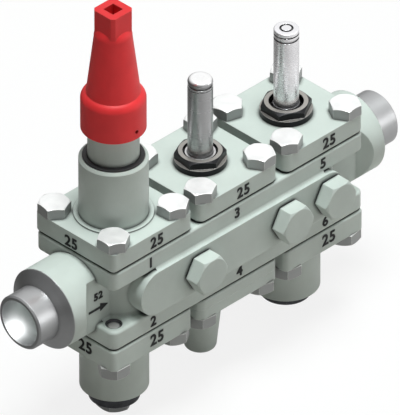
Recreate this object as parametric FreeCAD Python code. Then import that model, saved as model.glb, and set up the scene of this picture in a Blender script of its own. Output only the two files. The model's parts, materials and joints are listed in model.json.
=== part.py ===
import FreeCAD, Part
import math
import os

# Six-module control valve station with butt-weld ends, in millimetres.
# The origin is the centre of the inlet weld face. +X runs along the flow, +Z is up, and the
# modules stand on three vertical axes: one on top and one below on each axis.

os.makedirs("parts", exist_ok=True)
Vector = FreeCAD.Vector

# Clearances
slide_clearance = 0.05
thread_clearance = 0.1
part_clearance = 0.3
cutter_margin = 1.0

# Weld ends
pipe_od = 33.7
pipe_wall = 2.6
pipe_stub = 15.0
nipple_cone_length = 4.9
nipple_spigot_length = 4.0
nipple_spigot_wall = 3.4
weld_bevel = 1.0

# Station body
end_to_axis = 76.0
pitch = 70.0
column_count = 3
flange_side = 64.0
flange_thickness = 12.5
flange_gap = 29.0
flange_corner_radius = 4.9
flange_edge_round = 1.8
column_radius = 27.0
column_fillet = 1.7
web_thickness = 35.0
web_fillet = 1.7
pad_height = 29.0
pad_proud = 3.2
pad_end_inset = 1.75
pad_root_fillet = 2.0
hub_radius = 25.1
hub_relief_length = 7.5
chamber_radius = 17.5
partition_thickness = 6.0
seat_radius = 10.0
end_port_radius = 7.5
end_port_height = 11.5
end_bore_step = 0.75
end_bore_stop = 6.0
cross_port_radius = 6.5
cross_port_rise = 13.0
cross_port_inset = 12.25

# Cover bolts, M10 by 25
bolt_square = 48.0
bolt_diameter = 10.0
bolt_across_flats = 17.0
bolt_head_height = 7.0
bolt_chamfer_circle = 16.8
bolt_length = 25.0
bolt_hole_clearance = 0.5

# How each cover's four bolts stand once tight, in degrees, in the order of bolt_places()
stop_bolt_turns = (30, 22, 34, 3)
filter_bolt_turns = (40, 3, 2, 25)
solenoid_bolt_turns = (28, 10, 2, 20)
manual_bolt_turns = (28, 6, 47, 15)
expansion_bolt_turns = (28, 44, 0, 33)
check_bolt_turns = (35, 9, 21, 50)

# Covers and gaskets
gasket_thickness = 0.5
top_cover_thickness = 12.7
bottom_cover_thickness = 13.9
spacer_thickness = 6.8
manual_cover_thickness = 6.7
cover_edge_round = 2.0
tight_corner_radius = 3.3
wide_corner_radius = 5.0

# Bonnets, shared by the stop valve, the filter and the check valve
bonnet_radius = 20.2
bonnet_collar_radius = 22.0
bonnet_collar_height = 6.0
spigot_clearance = 0.1
spigot_depth = 3.0
cover_ring_radius = 23.25
cover_ring_height = 0.8

# Stop valve
stop_bonnet_height = 53.0
stop_bonnet_chamfer = 1.4
stop_bonnet_bore = 14.0
stop_bonnet_bore_height = 33.0
ring_outer_radius = 18.0
ring_thickness = 2.0
gland_radius = 15.0
gland_height = 30.0
gland_thread_radius = 12.0
gland_thread_length = 14.0
packing_radius = 9.0
packing_ring_height = 3.0
packing_ring_count = 2
packing_nut_across_flats = 16.0
packing_nut_head = 3.6
packing_nut_thread = 6.0
stop_spindle_radius = 6.0
stop_spindle_reach = 4.4
spindle_square = 7.6
spindle_square_length = 14.0
cone_radius = 13.0
cone_height = 9.0
cone_seal_height = 1.6
cone_seal_width = 2.4
cone_socket_depth = 6.0
cone_edge_round = 1.0

# Seal cap of the stop valve
cap_gap = 20.2
cap_skirt_radius = 19.0
cap_skirt_height = 19.1
cap_shoulder_height = 5.4
cap_shoulder_radius = 15.7
cap_shoulder_bulge = (0.29, 0.66)
cap_cone_height = 38.0
cap_cone_radius = 11.1
cap_square = 17.0
cap_square_corner_radius = 10.7
cap_square_height = 18.1
cap_square_overlap = 0.5
cap_dome_middle = (0.13, 0.45)
cap_dome_height = 6.2
cap_socket = 7.9
cap_socket_depth = 9.0
cap_wall = 3.2
cap_bore_top_wall = 4.5
cap_gasket_thickness = 1.5
cap_gasket_width = 2.1
vent_radius = 1.25
vent_height = 4.8

# Filter
lower_bonnet_height = 52.5
lower_bonnet_floor = 6.0
filter_bore = 15.5
filter_radius = 13.6
filter_wall = 1.4
filter_end_ring = 4.0
filter_window_count = 4
filter_window_width = 14.0
mesh_thickness = 0.4
drain_adapter_radius = 15.0
drain_adapter_height = 8.6
drain_thread_radius = 7.0
drain_bore = 5.0
drain_gasket_radius = 8.6
drain_gasket_thickness = 0.8
drain_across_flats = 18.75
drain_head_height = 6.4
drain_chamfer_circle = 17.6
drain_stem_length = 7.0
drain_plug_turn = 30

# Armature tubes, their nuts and what runs inside them
tube_radius = 7.4
tube_wall = 2.3
tube_top = 99.3
tube_flange_radius = 10.5
tube_flange_height = 3.5
tube_seat_depth = 7.2
tube_roof = 7.3
nut_thread_radius = 11.0
nut_collar_radius = 15.5
nut_collar_height = 3.7
nut_across_flats = 26.5
nut_height = 8.3
nut_chamfer_circle = 25.7
nut_recess_radius = 10.2
solenoid_recess_depth = 2.0
solenoid_root_radius = 9.0
solenoid_nut_turn = 22
expansion_recess_depth = 5.6
expansion_root_radius = 7.8
expansion_nut_turn = 29
tube_root_drop = 0.9
armature_length = 38.0
armature_gap = 1.0
armature_edge_round = 0.6
armature_spring_radius = 3.4
spring_wire_radius = 0.5

# Grooves near the top of each tube: distance below the top, width, depth
solenoid_tube_grooves = ((2.9, 2.2, 0.9), (6.0, 0.4, 0.3))
expansion_tube_grooves = ((2.3, 0.9, 0.6), (4.9, 1.5, 0.6))
solenoid_tube_round = 2.6
expansion_tube_round = 0.8
tube_end_ring_outer = 4.1
tube_end_ring_inner = 2.9
tube_end_ring_depth = 1.0

# Solenoid valve
sleeve_depth = 13.5
piston_radius = 12.0
piston_height = 18.0
piston_crown_gap = 8.0
piston_wall = 3.0
piston_spring_radius = 7.5
piston_seal_height = 1.4
piston_seal_width = 2.6
pilot_hole_radius = 1.2
pilot_tip_radius = 1.9

# Expansion valve
orifice_flange_radius = 12.4
orifice_flange_height = 1.6
orifice_hole_radius = 2.5
needle_radius = 3.2
needle_clearance = 0.4

# Manual opening
manual_spindle_radius = 4.0
manual_boss_radius = 9.5
manual_boss_height = 14.0
manual_packing_radius = 7.0
manual_packing_height = 3.0
manual_nut_across_flats = 11.0
manual_nut_head = 3.0
manual_nut_thread = 3.0
manual_spindle_square = 5.0
manual_spindle_square_length = 9.0
manual_spindle_reach = 26.0
push_pin_radius = 5.5
push_pin_length = 10.0
push_pin_start = 8.0
push_pin_socket = 5.0
push_pin_round = 1.0
manual_cap_radius = 14.3
manual_cap_length = 47.5
manual_cap_taper = 6.0
manual_cap_round = 2.5
manual_cap_thread_length = 15.0
manual_cap_wall = 3.0
manual_cap_step = 1.0
manual_gasket_inset = 0.5
manual_gasket_thickness = 0.8

# Check valve
check_cone_radius = 13.0
check_cone_height = 5.4
check_seal_height = 1.2
check_seal_width = 2.4
check_stem_radius = 5.0
check_stem_length = 33.0
check_guide_height = 6.0
check_spring_gap = 15.0
check_spring_radius = 8.0
check_spring_wire_radius = 0.8
check_bore = 15.0
end_plug_radius = 15.0
end_plug_height = 6.5
end_plug_thread_radius = 9.0
end_plug_round = 0.6

# Side plugs, one between each pair of axes and one on the last axis
side_plug_across_flats = 22.0
side_plug_head = 9.5
side_plug_chamfer_circle = 21.6
side_plug_thread = 16.66
side_plug_stem = 11.0
side_tap_runout = 1.0
side_gasket_thickness = 1.0
side_gasket_inset = 0.4
side_bore_radius = 2.5

# Values worked out from the sizes above
pipe_radius = pipe_od / 2
pipe_bore = pipe_radius - pipe_wall
hub_start = pipe_stub + nipple_cone_length
axes = [end_to_axis + pitch * index for index in range(column_count)]
first_axis, middle_axis, last_axis = axes[0], axes[1], axes[-1]
station_length = last_axis + end_to_axis
flange_start = first_axis - flange_side / 2
flange_end = last_axis + flange_side / 2
flange_inner = flange_gap / 2
flange_outer = flange_inner + flange_thickness
pad_front = flange_side / 2 + pad_proud
web_half = web_thickness / 2
partition_half = partition_thickness / 2
bolt_radius = bolt_diameter / 2
cover_base = flange_outer + gasket_thickness
top_cover_face = cover_base + top_cover_thickness
bottom_cover_face = cover_base + bottom_cover_thickness
corner_to_flat = 1 / math.cos(math.pi / 6)
hex_chamfer_slope = math.tan(math.radians(30))
spigot_radius = chamber_radius - spigot_clearance
collar_top = cover_base + bonnet_collar_height

nodes = {}


def cylinder(radius, z0, z1, x=0.0, y=0.0):
    """A vertical cylinder from z0 to z1."""
    return Part.makeCylinder(radius, z1 - z0, Vector(x, y, z0))


def along_x(radius, x0, x1, z=0.0):
    """A cylinder along X from x0 to x1."""
    return Part.makeCylinder(radius, x1 - x0, Vector(x0, 0, z), Vector(1, 0, 0))


def along_y(radius, y0, y1, x, z=0.0):
    """A cylinder along Y from y0 to y1."""
    return Part.makeCylinder(radius, y1 - y0, Vector(x, y0, z), Vector(0, 1, 0))


def box(x0, x1, y0, y1, z0, z1):
    return Part.makeBox(x1 - x0, y1 - y0, z1 - z0, Vector(x0, y0, z0))


def ring(outer, inner, z0, z1):
    return cylinder(outer, z0, z1).cut(cylinder(inner, z0, z1))


def turned(profile):
    """A solid of revolution round the vertical axis from (radius, height) points."""
    points = [Vector(radius, 0, height) for radius, height in profile]
    face = Part.Face(Part.makePolygon(points + [points[0]]))
    return face.revolve(Vector(0, 0, 0), Vector(0, 0, 1), 360)


def rounded(shape, radius, chosen):
    """Round the edges for which chosen(edge) is true."""
    edges = [edge for edge in shape.Edges if chosen(edge)]
    return shape.makeFillet(radius, edges)


def is_vertical(edge):
    bounds = edge.BoundBox
    return bounds.XLength < 1e-6 and bounds.YLength < 1e-6


def lies_at(height):
    """A test for edges that lie flat at this height."""
    def chosen(edge):
        bounds = edge.BoundBox
        return abs(bounds.ZMin - height) < 1e-6 and abs(bounds.ZMax - height) < 1e-6
    return chosen


def hex_prism(across_flats, z0, z1, turn=0.0):
    corner = across_flats / 2 * corner_to_flat
    points = []
    for index in range(7):
        angle = math.radians(turn + 60 * index)
        points.append(Vector(corner * math.cos(angle), corner * math.sin(angle), z0))
    return Part.Face(Part.makePolygon(points)).extrude(Vector(0, 0, z1 - z0))


def hex_head(across_flats, z0, z1, chamfer_circle, turn=0.0):
    """A hexagon head with its top corners turned off to the chamfer circle."""
    corner = across_flats / 2 * corner_to_flat
    top = chamfer_circle / 2
    drop = (corner - top) * hex_chamfer_slope
    envelope = turned([(0, z0), (corner, z0), (corner, z1 - drop), (top, z1), (0, z1)])
    return hex_prism(across_flats, z0, z1, turn).common(envelope)


def square_prism(side, z0, z1):
    return box(-side / 2, side / 2, -side / 2, side / 2, z0, z1)


def spring(radius, wire, z0, z1):
    """A compression spring between two seats, drawn as the sleeve that its coils fill."""
    return ring(radius + wire, radius - wire, z0, z1)


def bolt_places():
    half = bolt_square / 2
    return [(x, y) for x in (-half, half) for y in (-half, half)]


def place(name, shape, axis, below=False):
    """Put a module's piece on its axis. A lower module is the same thing turned over."""
    placed = shape.copy()
    if below:
        placed.rotate(Vector(0, 0, 0), Vector(1, 0, 0), 180)
    placed.translate(Vector(axis, 0, 0))
    nodes[name] = placed


def flange_plate(z0, z1):
    """One flange of the body, with round corners and round edges."""
    plate = box(flange_start, flange_end, -flange_side / 2, flange_side / 2, z0, z1)
    plate = rounded(plate, flange_corner_radius, is_vertical)
    for height in (z0, z1):
        plate = rounded(plate, flange_edge_round, lies_at(height))
    return plate


def column(x):
    """The round wall of one bore, with fillets where it meets the flanges."""
    inside = flange_inner + flange_edge_round
    foot = column_radius + column_fillet
    bend = flange_inner - column_fillet
    along = column_fillet * (1 - math.sqrt(0.5))
    edges = [
        Part.makeLine(Vector(0, 0, -inside), Vector(foot, 0, -inside)),
        Part.makeLine(Vector(foot, 0, -inside), Vector(foot, 0, -flange_inner)),
        Part.Arc(Vector(foot, 0, -flange_inner),
                 Vector(column_radius + along, 0, -flange_inner + along),
                 Vector(column_radius, 0, -bend)).toShape(),
        Part.makeLine(Vector(column_radius, 0, -bend), Vector(column_radius, 0, bend)),
        Part.Arc(Vector(column_radius, 0, bend),
                 Vector(column_radius + along, 0, flange_inner - along),
                 Vector(foot, 0, flange_inner)).toShape(),
        Part.makeLine(Vector(foot, 0, flange_inner), Vector(foot, 0, inside)),
        Part.makeLine(Vector(foot, 0, inside), Vector(0, 0, inside)),
        Part.makeLine(Vector(0, 0, inside), Vector(0, 0, -inside)),
    ]
    wall = Part.Face(Part.Wire(edges)).revolve(Vector(0, 0, 0), Vector(0, 0, 1), 360)
    wall.translate(Vector(x, 0, 0))
    return wall


def pad(side):
    """The long flat pad on one side of the body, side -1 in front and 1 behind."""
    radius = pad_height / 2
    start = first_axis + pad_end_inset
    end = last_axis - pad_end_inset
    face_y = side * pad_front
    back_y = side * web_half
    y0, y1 = min(face_y, back_y), max(face_y, back_y)
    solid = box(start, end, y0, y1, -radius, radius)
    for x in (start, end):
        solid = solid.fuse(along_y(radius, y0, y1, x))
    for level in (-1, 1):
        solid = solid.fuse(pad_root(side, level, start, end))
    return solid


def pad_root(side, level, start, end):
    """The concave fillet along one straight edge of a pad, where it meets the flange."""
    flange_y = side * flange_side / 2
    pad_z = level * pad_height / 2
    bend = pad_root_fillet
    along = bend * (1 - math.sqrt(0.5))
    inside = 2 * bend
    corner = Vector(start, flange_y - side * inside, pad_z - level * bend)
    low = Vector(start, flange_y + side * bend, pad_z - level * bend)
    foot = Vector(start, flange_y + side * bend, pad_z)
    middle = Vector(start, flange_y + side * along, pad_z + level * along)
    head = Vector(start, flange_y, pad_z + level * bend)
    top = Vector(start, flange_y - side * inside, pad_z + level * bend)
    edges = [
        Part.makeLine(corner, low),
        Part.makeLine(low, foot),
        Part.Arc(foot, middle, head).toShape(),
        Part.makeLine(head, top),
        Part.makeLine(top, corner),
    ]
    return Part.Face(Part.Wire(edges)).extrude(Vector(end - start, 0, 0))


def web():
    """The wall between the flanges, with fillets at its four long corners."""
    inside = flange_inner + flange_edge_round
    foot = web_half + web_fillet
    bend = flange_inner - web_fillet
    along = web_fillet * (1 - math.sqrt(0.5))
    edges = [Part.makeLine(Vector(0, -foot, inside), Vector(0, foot, inside))]
    for side, level in ((1, 1), (1, -1), (-1, -1), (-1, 1)):
        at_flange = Vector(0, side * foot, level * flange_inner)
        middle = Vector(0, side * (web_half + along), level * (flange_inner - along))
        at_wall = Vector(0, side * web_half, level * bend)
        beyond = Vector(0, side * foot, level * inside)
        upright = [Part.makeLine(beyond, at_flange), Part.Arc(at_flange, middle, at_wall).toShape()]
        edges += upright
    edges.append(Part.makeLine(Vector(0, web_half, bend), Vector(0, web_half, -bend)))
    edges.append(Part.makeLine(Vector(0, -web_half, bend), Vector(0, -web_half, -bend)))
    edges.append(Part.makeLine(Vector(0, -foot, -inside), Vector(0, foot, -inside)))
    wire = Part.Wire(Part.__sortEdges__(edges))
    start = flange_start + flange_corner_radius
    end = flange_end - flange_corner_radius
    wall = Part.Face(wire).extrude(Vector(end - start, 0, 0))
    wall.translate(Vector(start, 0, 0))
    ends = box(flange_start - hub_relief_length, flange_end + hub_relief_length,
               -web_half, web_half, -flange_inner, flange_inner)
    return wall.fuse(ends)


def hub(at_inlet):
    """The round hub that takes a weld nipple, cut back at each side beside the flange."""
    reach = flange_start + flange_corner_radius
    solid = along_x(hub_radius, hub_start, reach)
    outer = hub_radius + cutter_margin
    for side in (-1, 1):
        narrow = Vector(flange_start - hub_relief_length, side * web_half, -outer)
        wide = Vector(narrow.x - (outer - web_half), side * outer, -outer)
        relief = Part.Face(Part.makePolygon([
            narrow, wide, Vector(reach, side * outer, -outer),
            Vector(reach, side * web_half, -outer), narrow]))
        solid = solid.cut(relief.extrude(Vector(0, 0, 2 * outer)))
    if not at_inlet:
        solid = solid.mirror(Vector(station_length / 2, 0, 0), Vector(1, 0, 0))
    return solid


def side_ports():
    """X of each side plug: midway between neighbouring axes, and on the last axis."""
    return [x + pitch / 2 for x in axes[:-1]] + [last_axis]


def body_cavities():
    """What is bored, cored and tapped in the body."""
    cavities = []
    for x in axes:
        cavities.append(cylinder(chamber_radius, partition_half, flange_outer, x))
        cavities.append(cylinder(chamber_radius, -flange_outer, -partition_half, x))
        cavities.append(cylinder(seat_radius, -partition_half, partition_half, x))
        for dx, dy in bolt_places():
            cavities.append(cylinder(bolt_radius, -flange_outer, -flange_inner, x + dx, dy))
            cavities.append(cylinder(bolt_radius, flange_inner, flange_outer, x + dx, dy))
    spigot = pipe_bore + nipple_spigot_wall / 2
    bore_end = flange_start + end_bore_stop
    end_bore = pipe_bore + end_bore_step
    cavities.append(along_x(end_bore, hub_start, bore_end))
    cavities.append(along_x(end_bore, station_length - bore_end, station_length - hub_start))
    cavities.append(along_x(spigot, hub_start, hub_start + nipple_spigot_length))
    cavities.append(along_x(spigot, station_length - hub_start - nipple_spigot_length,
                            station_length - hub_start))
    port_start = bore_end - end_port_radius
    cavities.append(along_x(end_port_radius, port_start, first_axis, end_port_height))
    cavities.append(along_x(end_port_radius, last_axis, station_length - port_start, -end_port_height))
    for x0, x1 in zip(axes[:-1], axes[1:]):
        start = Vector(x0 + cross_port_inset, 0, -cross_port_rise)
        end = Vector(x1 - cross_port_inset, 0, cross_port_rise)
        run = end - start
        cavities.append(Part.makeCylinder(cross_port_radius, run.Length, start, run))
    thread = side_plug_thread / 2
    tap_end = -pad_front + side_plug_stem + side_tap_runout
    for x in side_ports():
        cavities.append(along_y(thread, -pad_front, tap_end, x))
    for x in side_ports()[:-1]:
        cavities.append(along_y(side_bore_radius, -pad_front, 0, x))
    x = side_ports()[-1]
    cavities.append(along_y(side_bore_radius, -pad_front + side_plug_stem, -chamber_radius / 2, x,
                            partition_half + side_bore_radius + part_clearance))
    return cavities


def station_body():
    body = flange_plate(flange_inner, flange_outer).fuse(flange_plate(-flange_outer, -flange_inner))
    body = body.multiFuse([column(x) for x in axes] + [web(), pad(-1), pad(1), hub(True), hub(False)])
    body = body.removeSplitter()
    return body.cut(body_cavities())


def weld_nipple():
    """The inlet pipe end, turned about the flow axis."""
    spigot = pipe_bore + nipple_spigot_wall / 2
    profile = [
        (pipe_bore, 0), (pipe_radius - weld_bevel, 0), (pipe_radius, weld_bevel), (pipe_radius, pipe_stub),
        (hub_radius, hub_start), (spigot, hub_start), (spigot, hub_start + nipple_spigot_length),
        (pipe_bore, hub_start + nipple_spigot_length),
    ]
    solid = turned(profile)
    solid.rotate(Vector(0, 0, 0), Vector(0, 1, 0), 90)
    return solid


def cover_plate(z0, thickness, corner_radius):
    """A square cover with its bolt holes. Its edges near the body are rounded."""
    half = flange_side / 2
    plate = box(-half, half, -half, half, z0, z0 + thickness)
    plate = rounded(plate, corner_radius, is_vertical)
    plate = rounded(plate, cover_edge_round, lies_at(z0))
    for x, y in bolt_places():
        plate = plate.cut(cylinder(bolt_radius + bolt_hole_clearance, z0, z0 + thickness, x, y))
    return plate


def bonnet_hole(cover, face):
    """The bore through a cover for a bonnet, with the recess for its collar."""
    cover = cover.cut(cylinder(bonnet_collar_radius + spigot_clearance, cover_base, collar_top))
    return cover.cut(cylinder(bonnet_radius + slide_clearance, cover_base, face))


def bolts(face, turns):
    """Four cover bolts with their heads on the face, each turned as it was tightened."""
    solids = []
    for (x, y), turn in zip(bolt_places(), turns):
        head = hex_head(bolt_across_flats, face, face + bolt_head_height, bolt_chamfer_circle, turn)
        shank = cylinder(bolt_radius - thread_clearance, face - bolt_length, face)
        solid = head.fuse(shank)
        solid.translate(Vector(x, y, 0))
        solids.append(solid)
    return Part.makeCompound(solids)


def cover_gaskets():
    """The flat gaskets under the covers, one above and one below on each axis."""
    gaskets = []
    for x in axes:
        for z0, z1 in ((flange_outer, cover_base), (-cover_base, -flange_outer)):
            gasket = ring(bonnet_collar_radius, chamber_radius, z0, z1)
            gasket.translate(Vector(x, 0, 0))
            gaskets.append(gasket)
    nodes["cover_gaskets"] = Part.makeCompound(gaskets)


def module_cover(name, cover, face, axis, below, turns):
    """Place a module's cover with its four bolts."""
    place(name + "_cover", cover, axis, below)
    place(name + "_cover_bolts", bolts(face, turns), axis, below)


def bonnet_outside(top):
    """The outer form of a bonnet: spigot, collar and long round neck."""
    return turned([
        (0, flange_outer - spigot_depth), (spigot_radius - slide_clearance, flange_outer - spigot_depth),
        (spigot_radius - slide_clearance, cover_base), (bonnet_collar_radius, cover_base),
        (bonnet_collar_radius, collar_top), (bonnet_radius, collar_top), (bonnet_radius, top), (0, top)])


def stop_valve(axis):
    cover = cover_plate(cover_base, top_cover_thickness, tight_corner_radius)
    cover = cover.fuse(cylinder(cover_ring_radius, top_cover_face, top_cover_face + cover_ring_height))
    cover = bonnet_hole(cover, top_cover_face + cover_ring_height)
    module_cover("stop", cover, top_cover_face, axis, False, stop_bolt_turns)

    low = flange_outer - spigot_depth
    top = flange_outer + stop_bonnet_height
    bore_top = low + stop_bonnet_bore_height
    thread_low = top - gland_thread_length
    bonnet = bonnet_outside(top)
    rim = [edge for edge in bonnet.Edges if lies_at(top)(edge)]
    bonnet = bonnet.makeChamfer(stop_bonnet_chamfer, rim)
    bonnet = bonnet.cut(cylinder(stop_bonnet_bore, low, bore_top))
    bonnet = bonnet.cut(cylinder(gland_thread_radius, thread_low, top))
    bonnet = bonnet.cut(cylinder(stop_spindle_radius + slide_clearance, bore_top, thread_low))
    bonnet = bonnet.cut(ring(ring_outer_radius, gland_radius, top - ring_thickness / 2, top))
    place("stop_bonnet", bonnet, axis)
    ring_top = top + ring_thickness / 2
    stop_ring = ring(ring_outer_radius - slide_clearance, gland_radius + slide_clearance,
                     top - ring_thickness / 2, ring_top)
    place("stop_ring", rounded(stop_ring, ring_thickness / 4, lies_at(ring_top)), axis)

    gland_top = top + gland_height
    packing_height = packing_ring_count * packing_ring_height
    packing_low = gland_top - packing_nut_thread - packing_height
    gland = cylinder(gland_radius, top, gland_top)
    gland = gland.fuse(cylinder(gland_thread_radius - thread_clearance, thread_low, top))
    gland = gland.cut(cylinder(stop_spindle_radius + slide_clearance, thread_low, gland_top))
    gland = gland.cut(cylinder(packing_radius, packing_low, gland_top))
    place("stop_gland", gland, axis)
    rings = [ring(packing_radius, stop_spindle_radius + slide_clearance, z, z + packing_ring_height)
             for z in [packing_low + packing_ring_height * index for index in range(packing_ring_count)]]
    place("stop_packing", Part.makeCompound(rings), axis)
    nut_low = gland_top - packing_nut_thread
    nut_top = gland_top + packing_nut_head
    nut = cylinder(packing_radius - thread_clearance, nut_low, gland_top)
    nut = nut.fuse(hex_prism(packing_nut_across_flats, gland_top, nut_top))
    nut = nut.cut(cylinder(stop_spindle_radius + slide_clearance, nut_low, nut_top))
    place("stop_packing_nut", nut, axis)

    seal_low = partition_half + slide_clearance
    cone_low = seal_low + cone_seal_height
    cone_top = cone_low + cone_height
    cone = cylinder(cone_radius, cone_low, cone_top)
    cone = rounded(cone, cone_edge_round, lies_at(cone_top))
    socket_low = cone_top - cone_socket_depth
    cone = cone.cut(cylinder(stop_spindle_radius + slide_clearance, socket_low, cone_top))
    place("stop_cone", cone, axis)
    place("stop_cone_seal", ring(cone_radius, cone_radius - cone_seal_width, seal_low, cone_low), axis)
    round_top = nut_top + stop_spindle_reach
    spindle = cylinder(stop_spindle_radius, socket_low + part_clearance, round_top)
    spindle = spindle.fuse(square_prism(spindle_square, round_top, round_top + spindle_square_length))
    place("stop_spindle", spindle, axis)
    seal_cap(axis, top, gland_top)


def seal_cap(axis, bonnet_top, gland_top):
    """The tall cap over the stop spindle, with a square end to unscrew it by."""
    low = bonnet_top + cap_gap
    skirt_top = low + cap_skirt_height
    shoulder_top = skirt_top + cap_shoulder_height
    cone_top = shoulder_top + cap_cone_height
    square_top = cone_top + cap_square_height
    dome_top = cone_top + cap_dome_height
    dome_top_radius = cap_square / 2 - cap_square_overlap
    dome_in = (cap_cone_radius - dome_top_radius) * cap_dome_middle[0]
    dome_up = cap_dome_height * cap_dome_middle[1]
    bulge_in = (cap_skirt_radius - cap_shoulder_radius) * cap_shoulder_bulge[0]
    bulge_up = cap_shoulder_height * cap_shoulder_bulge[1]
    edges = [
        Part.makeLine(Vector(0, 0, low), Vector(cap_skirt_radius, 0, low)),
        Part.makeLine(Vector(cap_skirt_radius, 0, low), Vector(cap_skirt_radius, 0, skirt_top)),
        Part.Arc(Vector(cap_skirt_radius, 0, skirt_top),
                 Vector(cap_skirt_radius - bulge_in, 0, skirt_top + bulge_up),
                 Vector(cap_shoulder_radius, 0, shoulder_top)).toShape(),
        Part.makeLine(Vector(cap_shoulder_radius, 0, shoulder_top), Vector(cap_cone_radius, 0, cone_top)),
        Part.Arc(Vector(cap_cone_radius, 0, cone_top),
                 Vector(cap_cone_radius - dome_in, 0, cone_top + dome_up),
                 Vector(dome_top_radius, 0, dome_top)).toShape(),
        Part.makeLine(Vector(dome_top_radius, 0, dome_top), Vector(0, 0, dome_top)),
        Part.makeLine(Vector(0, 0, dome_top), Vector(0, 0, low)),
    ]
    cap = Part.Face(Part.Wire(edges)).revolve(Vector(0, 0, 0), Vector(0, 0, 1), 360)
    square = square_prism(cap_square, cone_top, square_top)
    cap = cap.fuse(square.common(cylinder(cap_square_corner_radius, cone_top, square_top)))

    thread_top = gland_top + cap_gasket_thickness
    cavity_radius = gland_radius - cap_gasket_width
    cavity_top = cone_top - cap_bore_top_wall
    slope = (cap_shoulder_radius - cap_cone_radius) / cap_cone_height
    upper_radius = cap_cone_radius + slope * (cone_top - cavity_top) - cap_wall
    cap = cap.cut(cylinder(gland_radius + slide_clearance, low, thread_top))
    cap = cap.cut(turned([(0, thread_top), (cavity_radius, thread_top),
                          (cavity_radius, thread_top + cap_wall),
                          (upper_radius, cavity_top), (0, cavity_top)]))
    cap = cap.cut(square_prism(cap_socket, square_top - cap_socket_depth, square_top))
    cap = cap.cut(along_y(vent_radius, -cap_skirt_radius - cutter_margin, 0, 0, low + vent_height))
    place("seal_cap", cap, axis)
    place("seal_cap_gasket", ring(gland_radius, cavity_radius, gland_top, thread_top), axis)


def filter_module(axis):
    cover = cover_plate(cover_base, bottom_cover_thickness, tight_corner_radius)
    cover = bonnet_hole(cover, bottom_cover_face)
    module_cover("filter", cover, bottom_cover_face, axis, True, filter_bolt_turns)

    low = flange_outer - spigot_depth
    top = flange_outer + lower_bonnet_height
    floor = top - lower_bonnet_floor
    bonnet = bonnet_outside(top).cut(cylinder(filter_bore, low, floor))
    bonnet = bonnet.cut(cylinder(drain_thread_radius, floor, top))
    place("filter_bonnet", bonnet, axis, True)

    start = partition_half + part_clearance
    end = floor - part_clearance
    frame = ring(filter_radius, filter_radius - filter_wall, start, end)
    window = box(0, filter_radius + cutter_margin, -filter_window_width / 2, filter_window_width / 2,
                 start + filter_end_ring, end - filter_end_ring)
    for index in range(filter_window_count):
        cutter = window.copy()
        cutter.rotate(Vector(0, 0, 0), Vector(0, 0, 1), 360 / filter_window_count * index)
        frame = frame.cut(cutter)
    frame = frame.fuse(cylinder(filter_radius, end - filter_wall, end))
    place("filter_frame", frame, axis, True)
    inner = filter_radius - filter_wall
    place("filter_mesh", ring(inner, inner - mesh_thickness, start, end - filter_wall), axis, True)

    adapter = cylinder(drain_adapter_radius, top, top + drain_adapter_height)
    adapter = adapter.fuse(cylinder(drain_thread_radius - thread_clearance, floor, top))
    adapter_end = top + drain_adapter_height
    adapter = adapter.cut(cylinder(drain_bore, floor, adapter_end))
    place("drain_adapter", adapter, axis, True)
    head = adapter_end + drain_gasket_thickness
    place("drain_gasket", ring(drain_gasket_radius, drain_bore, adapter_end, head), axis, True)
    plug = hex_head(drain_across_flats, head, head + drain_head_height, drain_chamfer_circle,
                    drain_plug_turn)
    plug = plug.fuse(cylinder(drain_bore - thread_clearance, adapter_end - drain_stem_length, head))
    place("drain_plug", plug, axis, True)


def tube_cover(spigot_length):
    """A cover with the tapped seat for an armature tube, and the places of its two ends."""
    cover = cover_plate(cover_base, top_cover_thickness, wide_corner_radius)
    spigot_low = flange_outer - spigot_length
    cover = cover.fuse(cylinder(spigot_radius - slide_clearance, spigot_low, cover_base))
    seat = top_cover_face - tube_seat_depth
    cover = cover.cut(cylinder(nut_thread_radius, seat, top_cover_face))
    return cover, spigot_low, seat


def armature_tube(seat, root_radius, grooves):
    """The bare tube that a coil slips over: a flange and a root inside the nut, grooves at its top."""
    tube = cylinder(tube_radius, seat, tube_top)
    tube = tube.fuse(cylinder(tube_flange_radius, seat, seat + tube_flange_height))
    tube = tube.fuse(cylinder(root_radius, seat, top_cover_face + nut_height - tube_root_drop))
    tube = tube.cut(cylinder(tube_radius - tube_wall, seat, tube_top - tube_roof))
    for below_top, width, depth in grooves:
        high = tube_top - below_top
        tube = tube.cut(ring(tube_radius + cutter_margin, tube_radius - depth, high - width, high))
    return tube


def tube_nut(seat, root_radius, recess_depth, turn):
    """The hexagon nut that clamps the tube's flange in the cover."""
    low = seat + tube_flange_height
    collar_top_z = top_cover_face + nut_collar_height
    top = top_cover_face + nut_height
    nut = hex_head(nut_across_flats, collar_top_z, top, nut_chamfer_circle, turn)
    nut = nut.fuse(cylinder(nut_collar_radius, top_cover_face, collar_top_z))
    nut = nut.fuse(cylinder(nut_thread_radius - thread_clearance, low, top_cover_face))
    nut = nut.cut(cylinder(root_radius + slide_clearance, low, top))
    return nut.cut(cylinder(nut_recess_radius, top - recess_depth, top))


def armature(tip_low, guide_low, tip_radius):
    """The magnetic plunger, with a long or short tip below it."""
    radius = tube_radius - tube_wall - slide_clearance
    shape = cylinder(radius, guide_low, guide_low + armature_length)
    shape = rounded(shape, armature_edge_round, lies_at(guide_low + armature_length))
    shape = shape.fuse(turned([(0, tip_low), (tip_radius / 2, tip_low), (tip_radius, tip_low + tip_radius),
                               (tip_radius, guide_low), (0, guide_low)]))
    return shape


def armature_spring(guide_low):
    low = guide_low + armature_length
    return spring(armature_spring_radius, spring_wire_radius, low, tube_top - tube_roof)


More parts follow.
